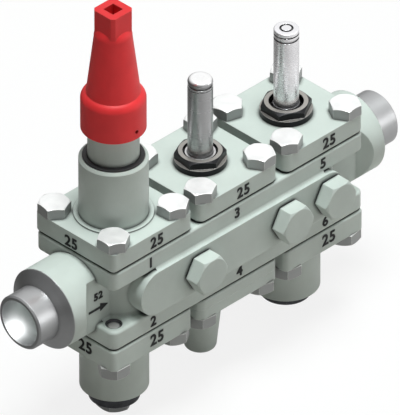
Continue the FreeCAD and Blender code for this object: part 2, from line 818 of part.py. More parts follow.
def solenoid_module(axis):
    cover, sleeve_low, seat = tube_cover(sleeve_depth)
    seal_low = partition_half + slide_clearance
    piston_low = seal_low + piston_seal_height
    piston_top = piston_low + piston_height
    crown = piston_top + piston_crown_gap
    cover = cover.cut(cylinder(piston_radius + slide_clearance, sleeve_low, crown))
    cover = cover.cut(cylinder(pilot_hole_radius, crown, seat))
    module_cover("solenoid", cover, top_cover_face, axis, False, solenoid_bolt_turns)
    tube = armature_tube(seat, solenoid_root_radius, solenoid_tube_grooves)
    place("solenoid_tube", rounded(tube, solenoid_tube_round, lies_at(tube_top)), axis)
    nut = tube_nut(seat, solenoid_root_radius, solenoid_recess_depth, solenoid_nut_turn)
    place("solenoid_nut", nut, axis)
    guide_low = seat + pilot_tip_radius + armature_gap
    place("solenoid_armature", armature(seat + slide_clearance, guide_low, pilot_tip_radius), axis)
    place("solenoid_armature_spring", armature_spring(guide_low), axis)

    piston = cylinder(piston_radius, piston_low, piston_top)
    piston = piston.cut(cylinder(piston_radius - piston_wall, piston_top - piston_height / 2, piston_top))
    piston = piston.cut(cylinder(pilot_hole_radius / 2, piston_low, piston_top))
    place("solenoid_piston", piston, axis)
    place("solenoid_piston_seal", ring(piston_radius, piston_radius - piston_seal_width,
                                       seal_low, piston_low), axis)
    place("solenoid_piston_spring", spring(piston_spring_radius, spring_wire_radius,
                                           piston_top - piston_height / 2, crown), axis)


def expansion_module(axis):
    cover, spigot_low, seat = tube_cover(spigot_depth)
    cover = cover.cut(cylinder(needle_radius + needle_clearance, spigot_low, seat))
    module_cover("expansion", cover, top_cover_face, axis, False, expansion_bolt_turns)
    tube = armature_tube(seat, expansion_root_radius, expansion_tube_grooves)
    tube = rounded(tube, expansion_tube_round, lies_at(tube_top))
    tube = tube.cut(ring(tube_end_ring_outer, tube_end_ring_inner, tube_top - tube_end_ring_depth, tube_top))
    place("expansion_tube", tube, axis)
    nut = tube_nut(seat, expansion_root_radius, expansion_recess_depth, expansion_nut_turn)
    place("expansion_nut", nut, axis)
    orifice_top = partition_half + orifice_flange_height
    orifice = cylinder(seat_radius - slide_clearance, -partition_half, partition_half)
    orifice = orifice.fuse(cylinder(orifice_flange_radius, partition_half, orifice_top))
    orifice = orifice.cut(cylinder(orifice_hole_radius, -partition_half, orifice_top))
    place("expansion_orifice", orifice, axis)
    guide_low = seat + armature_gap
    place("expansion_armature", armature(orifice_top + slide_clearance, guide_low, needle_radius), axis)
    place("expansion_armature_spring", armature_spring(guide_low), axis)


def manual_module(axis):
    spacer_face = cover_base + spacer_thickness
    face = spacer_face + manual_cover_thickness
    spacer = cover_plate(cover_base, spacer_thickness, wide_corner_radius)
    spigot_low = flange_outer - spigot_depth
    spacer = spacer.fuse(cylinder(spigot_radius - slide_clearance, spigot_low, cover_base))
    spacer = spacer.cut(cylinder(manual_spindle_radius + slide_clearance, spigot_low, spacer_face))
    place("manual_spacer", spacer, axis, True)

    half = flange_side / 2
    cover = rounded(box(-half, half, -half, half, spacer_face, face), wide_corner_radius, is_vertical)
    for x, y in bolt_places():
        cover = cover.cut(cylinder(bolt_radius + bolt_hole_clearance, spacer_face, face, x, y))
    boss_top = face + manual_boss_height
    packing_low = boss_top - manual_packing_height - manual_nut_thread
    cover = cover.fuse(cylinder(manual_boss_radius, face, boss_top))
    cover = cover.cut(cylinder(manual_spindle_radius + slide_clearance, spacer_face, boss_top))
    cover = cover.cut(cylinder(manual_packing_radius, packing_low, boss_top))
    module_cover("manual", cover, face, axis, True, manual_bolt_turns)
    place("manual_packing", ring(manual_packing_radius, manual_spindle_radius + slide_clearance,
                                 packing_low, packing_low + manual_packing_height), axis, True)
    nut_low = boss_top - manual_nut_thread
    nut_top = boss_top + manual_nut_head
    nut = cylinder(manual_packing_radius - thread_clearance, nut_low, boss_top)
    nut = nut.fuse(hex_prism(manual_nut_across_flats, boss_top, nut_top))
    nut = nut.cut(cylinder(manual_spindle_radius + slide_clearance, nut_low, nut_top))
    place("manual_packing_nut", nut, axis, True)

    pin_top = push_pin_start + push_pin_length
    socket_low = pin_top - push_pin_socket
    pin = cylinder(push_pin_radius, push_pin_start, pin_top)
    pin = rounded(pin, push_pin_round, lies_at(push_pin_start))
    pin = pin.cut(cylinder(manual_spindle_radius + slide_clearance, socket_low, pin_top))
    place("manual_push_pin", pin, axis, True)
    spindle_top = nut_top + manual_spindle_reach - manual_spindle_square_length
    spindle = cylinder(manual_spindle_radius, socket_low + part_clearance, spindle_top)
    spindle = spindle.fuse(square_prism(manual_spindle_square, spindle_top,
                                        spindle_top + manual_spindle_square_length))
    place("manual_spindle", spindle, axis, True)
    manual_cap(axis, face)


def manual_cap(axis, face):
    """The tapered cap over the manual spindle."""
    low = face + manual_gasket_thickness
    end = low + manual_cap_length
    taper = math.tan(math.radians(manual_cap_taper))
    tip_radius = manual_cap_radius - manual_cap_length * taper
    cap = rounded(turned([(0, low), (manual_cap_radius, low), (tip_radius, end), (0, end)]),
                  manual_cap_round, lies_at(end))
    thread_end = face + manual_cap_thread_length
    cavity_end = end - manual_cap_wall
    cavity_start_radius = manual_boss_radius - manual_cap_step
    cavity_end_radius = tip_radius - manual_cap_wall
    cap = cap.cut(cylinder(manual_boss_radius + slide_clearance, low, thread_end))
    cap = cap.cut(turned([(0, thread_end), (cavity_start_radius, thread_end),
                          (cavity_end_radius, cavity_end), (0, cavity_end)]))
    place("manual_cap", cap, axis, True)
    gasket = ring(manual_cap_radius - manual_gasket_inset, manual_boss_radius + slide_clearance, face, low)
    place("manual_cap_gasket", gasket, axis, True)


def check_module(axis):
    cover = cover_plate(cover_base, bottom_cover_thickness, tight_corner_radius)
    cover = bonnet_hole(cover, bottom_cover_face)
    module_cover("check", cover, bottom_cover_face, axis, True, check_bolt_turns)
    low = flange_outer - spigot_depth
    top = flange_outer + lower_bonnet_height
    floor = top - lower_bonnet_floor
    bonnet = bonnet_outside(top).cut(cylinder(check_bore, low, floor))
    place("check_bonnet", bonnet.cut(cylinder(end_plug_thread_radius, floor, top)), axis, True)
    plug = cylinder(end_plug_radius, top, top + end_plug_height)
    plug = plug.fuse(cylinder(end_plug_thread_radius - thread_clearance, floor, top))
    place("check_end_plug", rounded(plug, end_plug_round, lies_at(top + end_plug_height)), axis, True)

    seal_low = partition_half + slide_clearance
    cone_low = seal_low + check_seal_height
    cone_top = cone_low + check_cone_height
    guide_low = cone_top + check_spring_gap
    cone = cylinder(check_cone_radius, cone_low, cone_top)
    cone = cone.fuse(ring(check_cone_radius, check_cone_radius - check_seal_width, seal_low, cone_low))
    cone = cone.fuse(cylinder(check_stem_radius, cone_top, cone_top + check_stem_length))
    place("check_cone", cone, axis, True)
    guide = ring(check_bore - slide_clearance, check_stem_radius + slide_clearance,
                 guide_low, guide_low + check_guide_height)
    place("check_guide", guide, axis, True)
    coil = spring(check_spring_radius, check_spring_wire_radius, cone_top, guide_low)
    place("check_spring", coil, axis, True)


def side_plug_set():
    """The hexagon plugs in the front pad and their sealing rings."""
    plugs = []
    gaskets = []
    ring_radius = side_plug_across_flats / 2 - side_gasket_inset
    stem_radius = side_plug_thread / 2 - thread_clearance
    top = side_gasket_thickness + side_plug_head
    for x in side_ports():
        plug = hex_head(side_plug_across_flats, side_gasket_thickness, top, side_plug_chamfer_circle)
        plug = plug.fuse(cylinder(stem_radius, -side_plug_stem, side_gasket_thickness))
        gasket = ring(ring_radius, stem_radius, 0, side_gasket_thickness)
        for shape, group in ((plug, plugs), (gasket, gaskets)):
            shape.rotate(Vector(0, 0, 0), Vector(1, 0, 0), 90)
            shape.translate(Vector(x, -pad_front, 0))
            group.append(shape)
    nodes["side_plugs"] = Part.makeCompound(plugs)
    nodes["side_plug_gaskets"] = Part.makeCompound(gaskets)


def build():
    nodes["station_body"] = station_body()
    nodes["inlet_weld_nipple"] = weld_nipple()
    nodes["outlet_weld_nipple"] = weld_nipple().mirror(Vector(station_length / 2, 0, 0), Vector(1, 0, 0))
    stop_valve(first_axis)
    filter_module(first_axis)
    solenoid_module(middle_axis)
    manual_module(middle_axis)
    expansion_module(last_axis)
    check_module(last_axis)
    cover_gaskets()
    side_plug_set()
    for name, shape in nodes.items():
        shape.exportStep("parts/" + name + ".step")


build()
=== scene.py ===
# %% [markdown]
# # A valve station, dressed for its picture
# The station is a row of three bores in one steel casting. A flanged cover closes each end of each bore,
# and a pipe is welded to each end of the row. The shapes come from the CAD model, which stays as it is:
# this lesson gives each piece its finish, adds the small cast, cut and wound details that the CAD leaves
# out, and sets up the floor, the light and the camera.
#
# The frame is loaded first, because every piece is placed by it. Its overall box is kept, and the floor
# is laid just under it.

# %% Load the frame
import json
import math

import bmesh
import bpy
from mathutils import Matrix, Vector


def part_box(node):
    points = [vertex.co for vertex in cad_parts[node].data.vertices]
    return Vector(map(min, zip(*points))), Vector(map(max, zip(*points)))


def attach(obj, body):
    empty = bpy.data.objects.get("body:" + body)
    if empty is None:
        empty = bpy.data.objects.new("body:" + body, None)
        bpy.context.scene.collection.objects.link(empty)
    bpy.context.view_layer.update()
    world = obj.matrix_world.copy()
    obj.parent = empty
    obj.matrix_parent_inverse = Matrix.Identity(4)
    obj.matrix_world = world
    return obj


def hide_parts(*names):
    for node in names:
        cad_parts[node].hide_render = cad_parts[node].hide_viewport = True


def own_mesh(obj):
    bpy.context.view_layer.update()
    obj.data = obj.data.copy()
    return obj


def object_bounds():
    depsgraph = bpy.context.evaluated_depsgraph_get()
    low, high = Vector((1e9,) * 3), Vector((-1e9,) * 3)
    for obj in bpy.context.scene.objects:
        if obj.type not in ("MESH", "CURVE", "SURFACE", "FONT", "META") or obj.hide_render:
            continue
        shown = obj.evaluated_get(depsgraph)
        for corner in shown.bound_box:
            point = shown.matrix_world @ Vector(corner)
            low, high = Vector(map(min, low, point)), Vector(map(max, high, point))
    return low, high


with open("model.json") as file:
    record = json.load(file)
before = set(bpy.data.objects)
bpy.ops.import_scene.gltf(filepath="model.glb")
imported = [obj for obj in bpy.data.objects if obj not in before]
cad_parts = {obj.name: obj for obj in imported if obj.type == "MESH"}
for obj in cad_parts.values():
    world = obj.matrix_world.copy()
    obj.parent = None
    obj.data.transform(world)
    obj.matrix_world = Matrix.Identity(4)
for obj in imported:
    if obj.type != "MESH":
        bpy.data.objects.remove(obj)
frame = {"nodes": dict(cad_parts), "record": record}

cad_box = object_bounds()
scene = bpy.context.scene
millimetre = 0.001
first_axis = 0.076
axis_pitch = 0.070
axis_places = [first_axis + axis_pitch * index for index in range(3)]
print("CAD nodes:", len(frame["nodes"]))

# %% [markdown]
# ## A few words for shader nodes
# A finish is a tree of shader nodes, and so is the light of the room. The same few steps come back in
# every tree: add a node, set its numbers, join its inputs. They could be written out each time, but a
# short helper makes each finish read like a recipe. Colours are written as they look on a screen, from
# 0 to 255, and turned into the linear numbers that the shader works in.

# %% Helpers for shader nodes
noise_span = (0.3, 0.7)
black = (0, 0, 0, 1)


def linear(red, green, blue):
    """A screen colour as the linear colour that a shader expects."""
    channels = []
    for value in (red, green, blue):
        share = value / 255
        channels.append(share / 12.92 if share <= 0.04045 else ((share + 0.055) / 1.055) ** 2.4)
    return (*channels, 1.0)


def part_of(colour, share):
    """A colour with only this share of its light left."""
    return (*(share * channel for channel in colour[:3]), 1.0)


class NodeTree:
    """Short calls that add shader nodes to one tree and join them."""

    def __init__(self, tree):
        self.tree = tree

    def add(self, kind, **settings):
        node = self.tree.nodes.new(kind)
        for key, value in settings.items():
            setattr(node, key, value)
        return node

    def feed(self, socket, value):
        """Put a number, a colour or another node's output into a socket."""
        if isinstance(value, bpy.types.NodeSocket):
            self.tree.links.new(value, socket)
        else:
            socket.default_value = value

    def maths(self, operation, first, second=0.0, third=0.0):
        node = self.add("ShaderNodeMath", operation=operation)
        for socket, value in zip(node.inputs, (first, second, third)):
            self.feed(socket, value)
        return node.outputs[0]

    def spread(self, value, low, high, to_low=0.0, to_high=1.0):
        """Stretch the range from low to high over to_low to to_high, and clamp what lies outside."""
        node = self.add("ShaderNodeMapRange")
        for socket, number in zip(node.inputs, (value, low, high, to_low, to_high)):
            self.feed(socket, number)
        return node.outputs[0]

    def blend(self, share, first, second):
        """A colour between two colours."""
        node = self.add("ShaderNodeMix", data_type="RGBA")
        self.feed(node.inputs["Factor"], share)
        self.feed(node.inputs["A"], first)
        self.feed(node.inputs["B"], second)
        return node.outputs["Result"]

    def along(self, place, direction):
        """How far a place, or a direction, reaches along one direction."""
        node = self.add("ShaderNodeVectorMath", operation="DOT_PRODUCT")
        self.feed(node.inputs[0], place)
        self.feed(node.inputs[1], direction)
        return node.outputs["Value"]

    def parts(self, vector):
        """The X, Y and Z of a vector."""
        node = self.add("ShaderNodeSeparateXYZ")
        self.feed(node.inputs[0], vector)
        return node.outputs

    def layer(self, share, under, over):
        """One shader over another, by a share from 0 to 1."""
        node = self.add("ShaderNodeMixShader")
        for socket, value in zip(node.inputs, (share, under, over)):
            self.feed(socket, value)
        return node.outputs[0]


class Recipe(NodeTree):
    """One material on the shader that most surfaces use, read in Object coordinates."""

    def __init__(self, name):
        self.material = bpy.data.materials.new(name)
        self.material.use_nodes = True
        super().__init__(self.material.node_tree)
        self.shader = self.tree.nodes["Principled BSDF"]
        where = self.add("ShaderNodeTexCoord").outputs
        self.place = where["Object"]
        self.facing = where["Normal"]

    def surface(self, **values):
        """Set the shader's own sockets, named with underscores for spaces."""
        for key, value in values.items():
            self.feed(self.shader.inputs[key.replace("_", " ")], value)

    def noise(self, place, size, detail=2.0, roughness=0.5):
        """Soft noise whose blotches are about this size, in metres."""
        node = self.add("ShaderNodeTexNoise")
        self.feed(node.inputs["Vector"], place)
        node.inputs["Scale"].default_value = 1 / size
        node.inputs["Detail"].default_value = detail
        node.inputs["Roughness"].default_value = roughness
        return node.outputs["Fac"]

    def painted_corner_shade(self, reach):
        """1 in the open and 0 deep in a corner: the mask by which shade is painted into corners."""
        node = self.add("ShaderNodeAmbientOcclusion")
        node.samples = 8
        node.inputs["Distance"].default_value = reach
        return node.outputs["AO"]

    def soft_edges(self, radius):
        """A normal that rolls over each sharp edge, as a real edge does."""
        node = self.add("ShaderNodeBevel", samples=6)
        node.inputs["Radius"].default_value = radius
        return node.outputs["Normal"]

    def edge_mask(self, radius):
        """1 on sharp edges and 0 on flat ground: how far the rolled normal leaves the true one."""
        flat = self.add("ShaderNodeNewGeometry").outputs["Normal"]
        return self.spread(self.along(self.soft_edges(radius), flat), 0.99, 0.85)

    def bump(self, height, depth, normal=None):
        """Tilt the normal by a height from 0 to 1 that stands for this depth, in metres."""
        node = self.add("ShaderNodeBump")
        node.inputs["Strength"].default_value = 1.0
        node.inputs["Distance"].default_value = depth
        self.feed(node.inputs["Height"], height)
        if normal is not None:
            self.feed(node.inputs["Normal"], normal)
        return node.outputs["Normal"]


# %% [markdown]
# ## Turning marks
# Pipes, tubes and nuts are turned on a lathe, and the tool leaves fine rings round the axis. On a
# cylinder the rings lie one above the other, and on a flat end they lie inside each other. Both are the
# same pattern if it is read from two numbers: the distance from the axis and the place along it. The
# modules stand 70 mm apart, so their X is wrapped into one 70 mm stretch, and one finish fits all three.

# %% Rings round an axis
def ring_place(recipe, along):
    """Distance from the axis and place along it, as a texture place. The axis is 'X' or 'Z'."""
    x, y, z = recipe.parts(recipe.place)
    if along == "Z":
        wrap = recipe.maths("WRAP", x, first_axis + axis_pitch / 2, first_axis - axis_pitch / 2)
        across, length = recipe.maths("SUBTRACT", wrap, first_axis), z
    else:
        across, length = z, x
    square = recipe.maths("ADD", recipe.maths("MULTIPLY", across, across), recipe.maths("MULTIPLY", y, y))
    join = recipe.add("ShaderNodeCombineXYZ")
    recipe.feed(join.inputs[0], recipe.maths("SQRT", square))
    recipe.feed(join.inputs[1], length)
    return join.outputs[0]


# %% [markdown]
# ## The coated casting
# The body and its covers are cast steel under a pale, slightly green coat. A casting isn't smooth: sand
# leaves a fine grain, corners and creases are painted darker as shade, and the edges are painted lighter,
# partly as wear and partly as a highlight. The grain is a bump of two noises, the corners are darkened by
# a mask of painted shade, and the edges are rolled by a bevel in the shader, because the CAD node's own
# mesh is left as it is. The grain is a bump of two noises, the corners are darkened by a crevice mask,
# and the edges are rolled by a bevel in the shader, because a bevel in the mesh isn't allowed on a CAD
# node. Faces that look up are painted paler than the sides, as light from above, so the colour also
# follows the way a face looks.

# %% Coated casting
def coated_casting(name, lit_top_colour, shaded_side_colour, grain_depth):
    cloud_size, coarse_size, polish_size, grain_size = 0.018, 0.004, 0.006, 0.0011
    worn_edge, worn_share, wear_and_highlight_colour = 0.0006, 0.55, linear(226, 233, 228)
    corner_reach, corner_share = 0.003, 0.12
    recipe = Recipe(name)
    # Painted light: faces that look up take the lit top colour, upright faces the shaded side colour.
    lit_and_shaded_colour = recipe.blend(recipe.spread(recipe.parts(recipe.facing)[2], 0.1, 0.9), shaded_side_colour, lit_top_colour)
    cloud = recipe.noise(recipe.place, cloud_size, 3.0)
    coat = recipe.blend(recipe.spread(cloud, 0.35, 0.65), recipe.blend(0.06, lit_and_shaded_colour, black), lit_and_shaded_colour)
    # The edges turn lighter, partly as wear and partly as a painted highlight.
    wear_and_highlight_edges = recipe.maths("MULTIPLY", recipe.edge_mask(worn_edge), worn_share)
    edge_wear_and_highlight = recipe.blend(wear_and_highlight_edges, coat, wear_and_highlight_colour)
    # Painted shade: corners and creases go darker, towards a dark share of the side colour.
    shade = recipe.spread(recipe.painted_corner_shade(corner_reach), 0.42, 0.92)
    coarse = recipe.maths("MULTIPLY", recipe.noise(recipe.place, coarse_size), 1.5)
    grain = recipe.maths("ADD", recipe.noise(recipe.place, grain_size, 4.0, 0.6), coarse)
    polish = recipe.noise(recipe.place, polish_size, 3.0)
    recipe.surface(Base_Color=recipe.blend(shade, part_of(shaded_side_colour, corner_share), edge_wear_and_highlight), Metallic=0.0,
                   Roughness=recipe.spread(polish, *noise_span, 0.40, 0.55),
                   Normal=recipe.bump(grain, grain_depth, recipe.soft_edges(0.0009)))
    recipe.shader.inputs["IOR"].default_value = 1.5
    recipe.shader.inputs["Specular IOR Level"].default_value = 0.45
    return recipe.material


# %% [markdown]
# ## Bare steel
# The weld ends and the armature tubes are bare metal. Metal takes its look from what it mirrors, so the
# finish only decides how sharp the mirror is and how the turning marks stretch it. The marks are a very
# fine noise on the ring pattern: a shallow bump and a small change of roughness from ring to ring. Faces
# that look up or down may take a paler colour of their own, as painted light, and corners and grooves
# are darkened as painted shade.

# %% Turned steel
def upward(recipe):
    """1 on faces that look up or down, and 0 on upright ones."""
    return recipe.spread(recipe.maths("ABSOLUTE", recipe.parts(recipe.facing)[2]), 0.3, 0.8)


def turned_steel(name, colour, roughness, along, mark_width, mark_depth, metallic=1.0, lit_end_colour=None):
    smudge_size, smudge_share = 0.012, 0.88
    corner_reach, corner_share = 0.002, 0.05
    recipe = Recipe(name)
    rings = recipe.noise(ring_place(recipe, along), mark_width, 2.0, 0.7)
    smudge = recipe.noise(recipe.place, smudge_size, 3.0)
    tone = recipe.blend(recipe.spread(smudge, *noise_span), part_of(colour, smudge_share), colour)
    # Painted light: faces that look up or down take the paler lit end colour.
    if lit_end_colour is not None:
        tone = recipe.blend(upward(recipe), tone, lit_end_colour)
    # Painted shade: corners and grooves go darker.
    shade = recipe.spread(recipe.painted_corner_shade(corner_reach), 0.5, 0.95)
    recipe.surface(Base_Color=recipe.blend(shade, part_of(colour, corner_share), tone), Metallic=metallic,
                   Roughness=recipe.spread(rings, *noise_span, roughness - 0.05, roughness + 0.08),
                   Normal=recipe.bump(rings, mark_depth, recipe.soft_edges(0.0004)))
    return recipe.material


# %% [markdown]
# ## Bolts and other forged heads
# Bolt heads are forged and zinc plated. Their flat ends take a bright colour and the six sides a duller
# grey, as painted light from above and painted shade on the sides. Plating scatters light more than bare
# steel, so the finish is only partly metallic. A faint speckle, painted highlights on the edges and
# painted shade in the corners do the rest.

# %% Plated steel
def plated_steel(name, colour, shaded_side_colour, roughness, speckle_depth):
    speckle_size, smudge_size, smudge_share = 0.0008, 0.007, 0.9
    highlight_edge_radius, edge_colour = 0.0005, linear(240, 240, 238)
    corner_reach, corner_share = 0.0025, 0.25
    recipe = Recipe(name)
    speckle = recipe.noise(recipe.place, speckle_size, 3.0, 0.6)
    smudge = recipe.noise(recipe.place, smudge_size, 3.0)
    ends = recipe.blend(recipe.spread(smudge, *noise_span), part_of(colour, smudge_share), colour)
    # Painted light and shade: ends that look up or down take the bright colour, the six sides the shaded
    # side colour.
    tone = recipe.blend(upward(recipe), shaded_side_colour, ends)
    # Painted highlight: sharp edges turn to the pale edge colour.
    bright = recipe.blend(recipe.edge_mask(highlight_edge_radius), tone, edge_colour)
    # Painted shade: corners go darker.
    shade = recipe.spread(recipe.painted_corner_shade(corner_reach), 0.25, 0.9)
    recipe.surface(Base_Color=recipe.blend(shade, part_of(colour, corner_share), bright), Metallic=0.35,
                   Roughness=recipe.spread(smudge, *noise_span, roughness, roughness + 0.1),
                   Normal=recipe.bump(speckle, speckle_depth, recipe.soft_edges(0.0005)))
    return recipe.material


# %% [markdown]
# ## Black oxide
# The nuts, the black ring and the lower plugs are blackened steel. The oxide is thin, so it wears to grey
# on the edges, and it has a satin shine. It is made as a dark metal whose edges lighten. The tube nuts
# get a grey ring of painted light on their flat tops, outside the recess round the tube.

# %% Black oxide
nut_recess_radius = 0.0102
recess_edge = 0.0001


def painted_top_light_ring(recipe):
    """1 on the flat top of a nut, outside its recess, and 0 on its sides: where light is painted on the
    top.
    """
    radius = recipe.parts(ring_place(recipe, "Z"))[0]
    outside = recipe.spread(radius, nut_recess_radius - recess_edge, nut_recess_radius)
    return recipe.maths("MULTIPLY", outside, recipe.spread(recipe.parts(recipe.facing)[2], 0.9, 0.98))


def black_oxide(name, colour, edge_colour, top_light_colour=None):
    patch_size, fine_size, fine_depth = 0.005, 0.0009, 0.00001
    worn_edge, pale_share = 0.0005, 1.7
    recipe = Recipe(name)
    patch = recipe.noise(recipe.place, patch_size, 4.0)
    base = recipe.blend(recipe.spread(patch, 0.35, 0.7), colour, part_of(colour, pale_share))
    # Painted light: the flat top of the nut, outside its recess, takes a grey ring.
    if top_light_colour is not None:
        base = recipe.blend(painted_top_light_ring(recipe), base, top_light_colour)
    rub = recipe.maths("MULTIPLY", recipe.edge_mask(worn_edge), recipe.spread(patch, 0.3, 0.6, 0.3, 0.9))
    fine = recipe.noise(recipe.place, fine_size, 3.0)
    recipe.surface(Base_Color=recipe.blend(rub, base, edge_colour), Metallic=0.75,
                   Roughness=recipe.spread(patch, *noise_span, 0.32, 0.44),
                   Normal=recipe.bump(fine, fine_depth, recipe.soft_edges(0.0006)))
    return recipe.material


# %% [markdown]
# ## Moulded plastic, rubber, fibre and paint
# The tall cap is red moulded plastic with a soft gloss and the faint ripple that a mould leaves. Seals
# are matt and nearly black or white, the cover gaskets are pressed fibre with short flecks in it, and
# the marks are painted with a flat black. One matt finish with its own colours serves these four.

# %% Plastic, rubber, fibre and paint
def moulded_plastic(name, colour, roughness):
    ripple_size, fine_size, swirl_size, swirl_share = 0.0035, 0.0005, 0.014, 0.9
    rubbed_edge, rubbed_share, rubbed_colour = 0.0005, 0.35, linear(226, 110, 104)
    corner_reach, corner_share, ripple_depth = 0.003, 0.35, 0.00004
    recipe = Recipe(name)
    ripple = recipe.noise(recipe.place, ripple_size, 2.0)
    fine = recipe.noise(recipe.place, fine_size, 2.0)
    swirl = recipe.noise(recipe.place, swirl_size, 3.0)
    tone = recipe.blend(recipe.spread(swirl, *noise_span), part_of(colour, swirl_share), colour)
    rubbed = recipe.blend(recipe.maths("MULTIPLY", recipe.edge_mask(rubbed_edge), rubbed_share), tone,
                          rubbed_colour)
    # Painted shade: corners go darker.
    shade = recipe.spread(recipe.painted_corner_shade(corner_reach), 0.2, 0.9)
    height = recipe.maths("ADD", ripple, recipe.maths("MULTIPLY", fine, 0.15))
    recipe.surface(Base_Color=recipe.blend(shade, part_of(colour, corner_share), rubbed),
                   Roughness=recipe.spread(fine, *noise_span, roughness, roughness + 0.08),
                   Normal=recipe.bump(height, ripple_depth, recipe.soft_edges(0.0007)))
    recipe.shader.inputs["Specular IOR Level"].default_value = 0.3
    return recipe.material


def soft_matt(name, colour, fleck_colour, fleck_size, roughness):
    fleck_depth = 0.00002
    recipe = Recipe(name)
    fleck = recipe.noise(recipe.place, fleck_size, 5.0, 0.7)
    recipe.surface(Base_Color=recipe.blend(recipe.spread(fleck, 0.45, 0.7), colour, fleck_colour),
                   Roughness=recipe.spread(fleck, *noise_span, roughness - 0.08, roughness + 0.05),
                   Normal=recipe.bump(fleck, fleck_depth, recipe.soft_edges(0.0003)))
    return recipe.material


# %% [markdown]
# ## A finish for each slot
# The CAD record names a finish slot for each node. Making one material per slot and handing it to every
# node of that slot keeps a set of pieces alike, as one supplier's parts are. Only the two tube nuts get
# a finish of their own, with a grey ring of painted light on their tops.

# %% Finishes, and the CAD nodes that wear them
finishes = {
    "cast_steel": coated_casting("coated casting", linear(213, 224, 218), linear(188, 197, 192),
                                 grain_depth=0.00005),
    "machined_steel": turned_steel("turned steel ends", linear(178, 179, 180), roughness=0.34, along="X",
                                   mark_width=0.0004, mark_depth=0.000006),
    "bright_bolts": plated_steel("plated bolts", linear(252, 252, 252), linear(158, 160, 160),
                                 roughness=0.34, speckle_depth=0.00001),
    "tube_steel": turned_steel("drawn tube, satin", linear(176, 176, 177), roughness=0.3, along="Z",
                               mark_width=0.0006, mark_depth=0.000004, lit_end_colour=linear(244, 244, 244)),
    "tube_bright": turned_steel("drawn tube, bright", linear(246, 245, 248), roughness=0.27, along="Z",
                                mark_width=0.0008, mark_depth=0.000002, metallic=0.85),
    "black_metal": black_oxide("black oxide", linear(62, 63, 66), linear(150, 150, 152)),
    "red_cap": moulded_plastic("red moulded cap", linear(236, 54, 58), roughness=0.42),
    "inner_steel": turned_steel("turned inner parts", linear(190, 191, 194), roughness=0.3, along="Z",
                                mark_width=0.0005, mark_depth=0.00001),
    "seal_black": soft_matt("black seal rubber", linear(26, 26, 28), linear(44, 44, 46),
                            fleck_size=0.0006, roughness=0.6),
    "seal_white": soft_matt("white seal plastic", linear(226, 226, 220), linear(206, 206, 200),
                            fleck_size=0.002, roughness=0.5),
    "mark_paint": soft_matt("black marking paint", linear(10, 10, 11), linear(22, 22, 23),
                            fleck_size=0.001, roughness=0.7),
    "gasket_fibre": soft_matt("pressed fibre", linear(38, 40, 40), linear(84, 86, 84),
                              fleck_size=0.0005, roughness=0.8),
}
for part in frame["record"]["subparts"]:
    node = frame["nodes"][part["node"]]
    node.data.materials.clear()
    node.data.materials.append(finishes[part["material_slot"]])
nut_with_top_light = black_oxide("blackened nut, painted light on top", linear(24, 24, 26), linear(110, 110, 112),
                        top_light_colour=linear(166, 163, 158))
for name in ("solenoid_nut", "expansion_nut"):
    frame["nodes"][name].data.materials[0] = nut_with_top_light
print("finishes:", ", ".join(sorted(finishes)))

# %% [markdown]
# ## Turning new pieces on a lathe
# Many small details are round. The bmesh spin operator works like a lathe: a closed outline of
# (radius, height) points is turned once round a vertical axis. The points where the outline touches the
# axis fall together, so doubles are merged, and the normals are worked out afterwards.

# %% A lathe and a finishing bench
same_place = 1e-7
lathe_steps = 32


def turned(bm, outline, x, y):
    """Spin a closed outline of (radius, height) points, in millimetres, round a vertical axis."""
    corners = [bm.verts.new(((x + radius) * millimetre, y * millimetre, height * millimetre))
               for radius, height in outline]
    sides = [bm.edges.new((first, second)) for first, second in zip(corners, corners[1:] + corners[:1])]
    bmesh.ops.spin(bm, geom=corners + sides, cent=(x * millimetre, y * millimetre, 0), axis=(0, 0, 1),
                   angle=math.tau, steps=lathe_steps, use_merge=True)


def finish_piece(bm, name, finish):
    """Make the bmesh an object with this finish, fixed to the station."""
    bmesh.ops.remove_doubles(bm, verts=bm.verts, dist=same_place)
    bmesh.ops.recalc_face_normals(bm, faces=bm.faces)
    mesh = bpy.data.meshes.new(name)
    bm.to_mesh(mesh)
    bm.free()
    mesh.materials.append(finishes[finish])
    piece = bpy.data.objects.new(name, mesh)
    scene.collection.objects.link(piece)
    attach(piece, "station")
    print(name, "faces:", len(mesh.polygons))
    return piece


# %% [markdown]
# ## Tapped holes and bolt ends
# The cover bolts screw into the flanges, and their ends show in the tapped holes from inside. The CAD
# draws a plain hole as wide as the bolt. The real hole is narrower at the thread crests, so a threaded
# lining is turned for each hole, with a chamfered bolt end inside it. One short outline serves all 24.

# %% Threads in the flanges
bolt_offset = 24.0
hole_radius = 5.0
crest_radius = 4.25
thread_pitch = 1.5
thread_root_rise = 0.1
mouth_chamfer = 0.35
tip_height = 0.6
tip_chamfer = 0.95
tip_clearance = 0.25
flange_inner_face = 14.5
upper_bolt_end = 15.2
lower_bolt_end = -16.4


def hole_lining(face, bolt_end):
    """Outline of a threaded lining from the flange's inner face to the bolt's end."""
    inward = 1 if bolt_end > face else -1
    depth = abs(bolt_end - face)
    outline = [(hole_radius, face), (crest_radius, face + inward * min(mouth_chamfer, depth / 2))]
    position = mouth_chamfer + thread_pitch / 4
    while position + thread_pitch / 2 < depth:
        outline.append((crest_radius, face + inward * position))
        outline.append((hole_radius - thread_root_rise, face + inward * (position + thread_pitch / 4)))
        outline.append((crest_radius, face + inward * (position + thread_pitch / 2)))
        position += thread_pitch * 0.75
    outline += [(crest_radius, bolt_end), (hole_radius, bolt_end)]
    return outline


def bolt_end_outline(face, bolt_end):
    """Outline of the chamfered end of a bolt, standing a little out of its shank."""
    depth = abs(face - bolt_end)
    tip = bolt_end + tip_height * (face - bolt_end) / depth * min(1, depth / (2 * tip_height))
    shank = crest_radius - tip_clearance
    return [(0, bolt_end), (shank, bolt_end), (shank - tip_chamfer, tip), (0, tip)]


